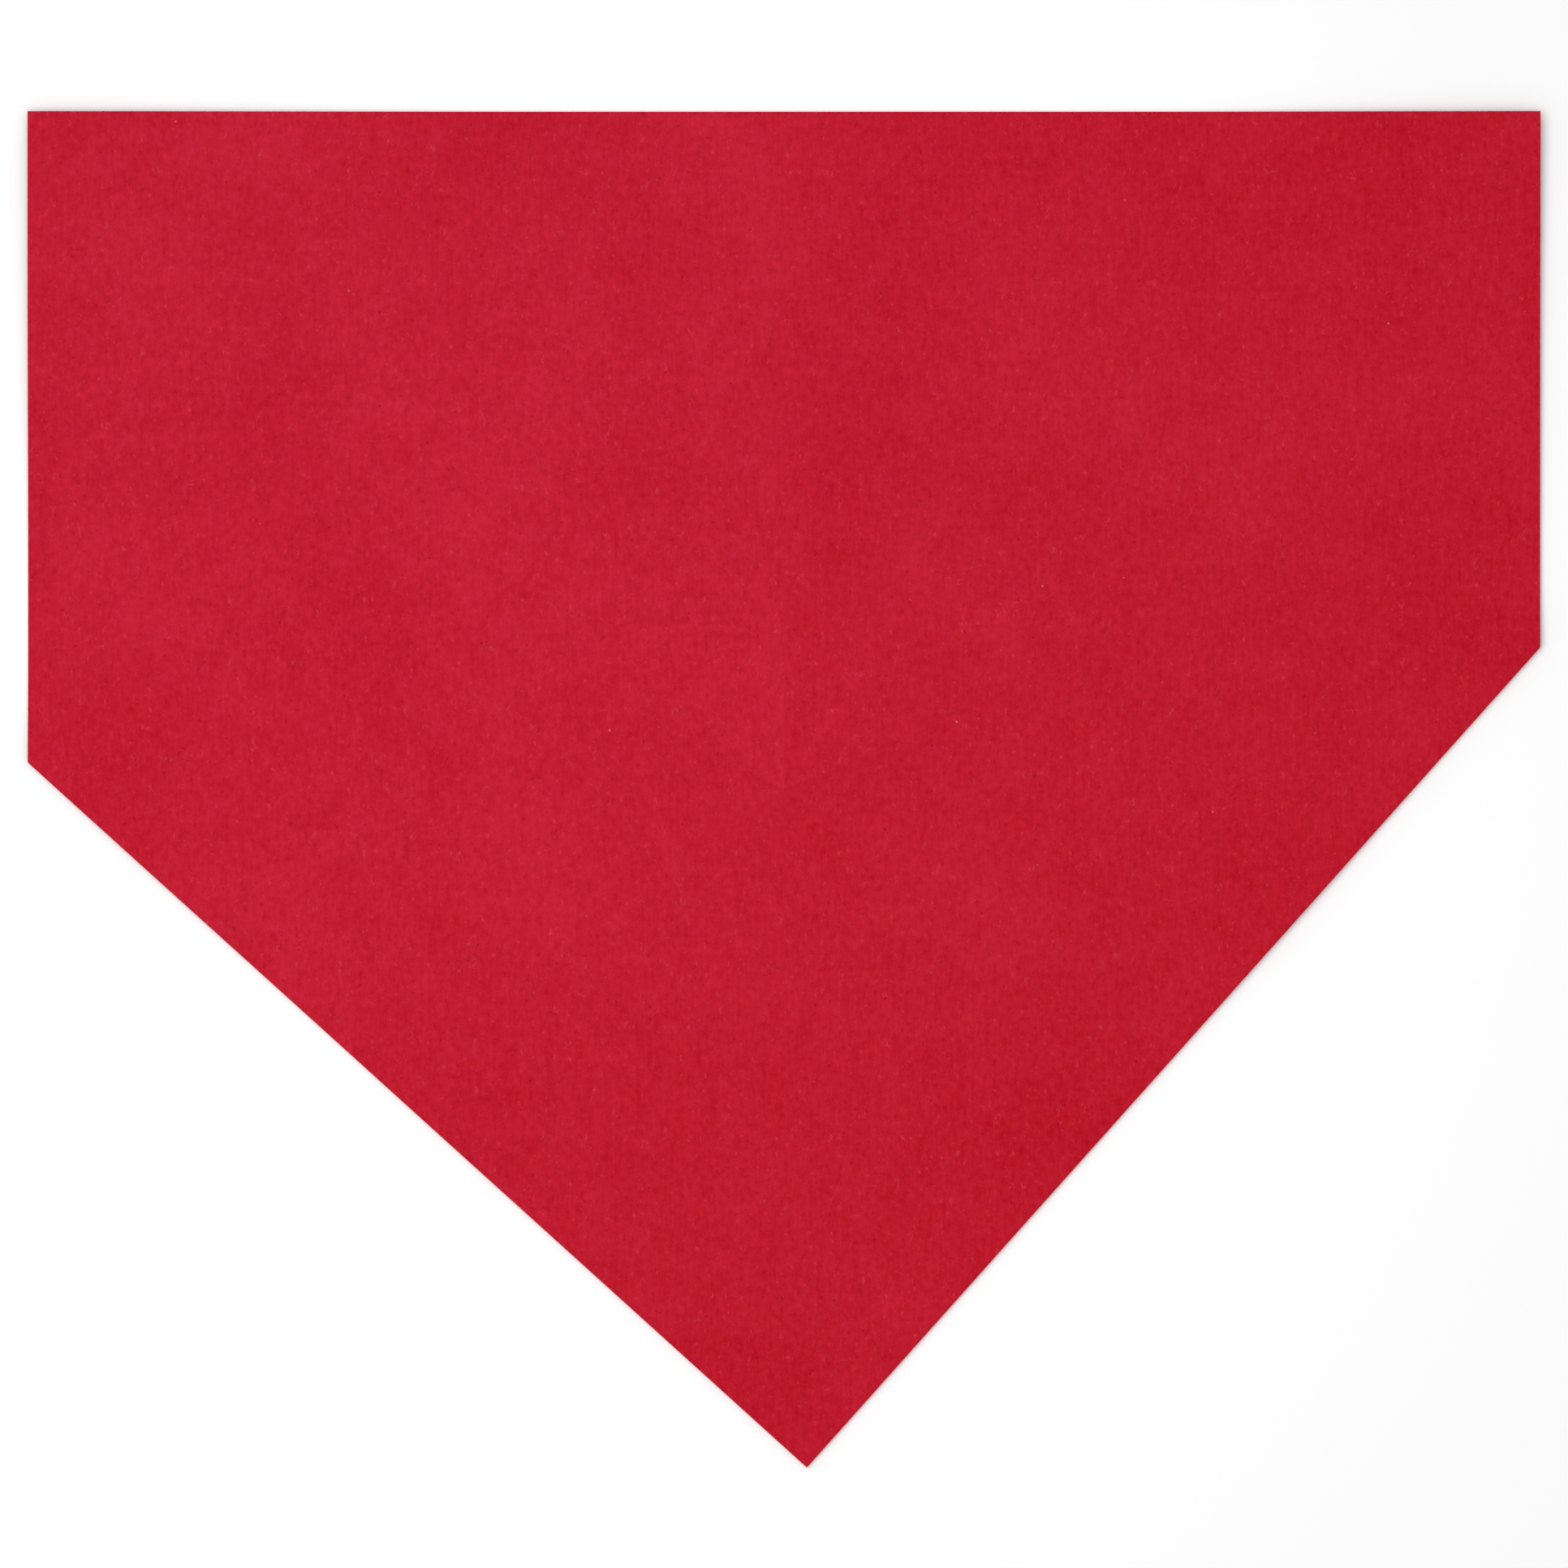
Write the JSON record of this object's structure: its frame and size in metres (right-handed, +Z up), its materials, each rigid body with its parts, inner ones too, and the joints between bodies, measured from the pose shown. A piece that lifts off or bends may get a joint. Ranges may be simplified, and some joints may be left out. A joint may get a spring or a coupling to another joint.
{
  "type": "paper airplane",
  "caption": "Folded sheet paper airplane lying flat, plain side up, with a pointed nose, folded-under nose flaps, a keel crease and two wing creases.",
  "frame": {"origin": "bottom centre of the flat airplane's box, on the surface it lies on", "axes": "+Z up out of the plain face, nose towards -Y, +X to the right with the nose pointing down the page"},
  "size_m": [0.21, 0.1884, 0.0008],
  "materials": {
    "red_paper": "matt, uncoated, grainy"
  },
  "bodies": {
    "spine": {"keel_spine": "red_paper"},
    "left_keel_side": {"left_keel_panel": "red_paper", "left_keel_nose_flap": "red_paper", "left_keel_nose_fold": "red_paper", "right_flap_overlap": "red_paper"},
    "left_wing_fold": {"left_wing_crease": "red_paper"},
    "left_wing": {"left_wing_panel": "red_paper", "left_wing_nose_flap": "red_paper", "left_wing_nose_fold": "red_paper"},
    "right_keel_side": {"right_keel_panel": "red_paper", "right_keel_nose_flap": "red_paper", "right_keel_nose_fold": "red_paper"},
    "right_wing_fold": {"right_wing_crease": "red_paper"},
    "right_wing": {"right_wing_panel": "red_paper", "right_wing_nose_flap": "red_paper", "right_wing_nose_fold": "red_paper"}
  },
  "joints": [
    {"name": "left_keel_fold", "type": "hinge", "parent": "spine", "child": "left_keel_side", "pos_m": [0.00262, 0, 0.0008], "axis": [0, 1, 0], "range_deg": [0, 90]},
    {"name": "right_keel_fold", "type": "hinge", "parent": "spine", "child": "right_keel_side", "pos_m": [0.00372, 0, 0.0008], "axis": [0, -1, 0], "range_deg": [0, 90]},
    {"name": "left_wing_level", "type": "hinge", "parent": "left_keel_side", "child": "left_wing_fold", "pos_m": [-0.02268, 0, 0], "axis": [0, -1, 0], "range_deg": [0, 90]},
    {"name": "right_wing_level", "type": "hinge", "parent": "right_keel_side", "child": "right_wing_fold", "pos_m": [0.02902, 0, 0], "axis": [0, 1, 0], "range_deg": [0, 90]},
    {"name": "left_wing_lift", "type": "hinge", "parent": "left_wing_fold", "child": "left_wing", "pos_m": [-0.02378, 0, 0.0008], "axis": [0, 1, 0], "range_deg": [0, 90]},
    {"name": "right_wing_lift", "type": "hinge", "parent": "right_wing_fold", "child": "right_wing", "pos_m": [0.03012, 0, 0.0008], "axis": [0, -1, 0], "range_deg": [0, 90]}
  ],
  "couplings": [
    {"joint": "right_keel_fold", "follows": "left_keel_fold", "ratio": 1},
    {"joint": "left_wing_level", "follows": "left_keel_fold", "ratio": 1},
    {"joint": "right_wing_level", "follows": "left_keel_fold", "ratio": 1}
  ]
}
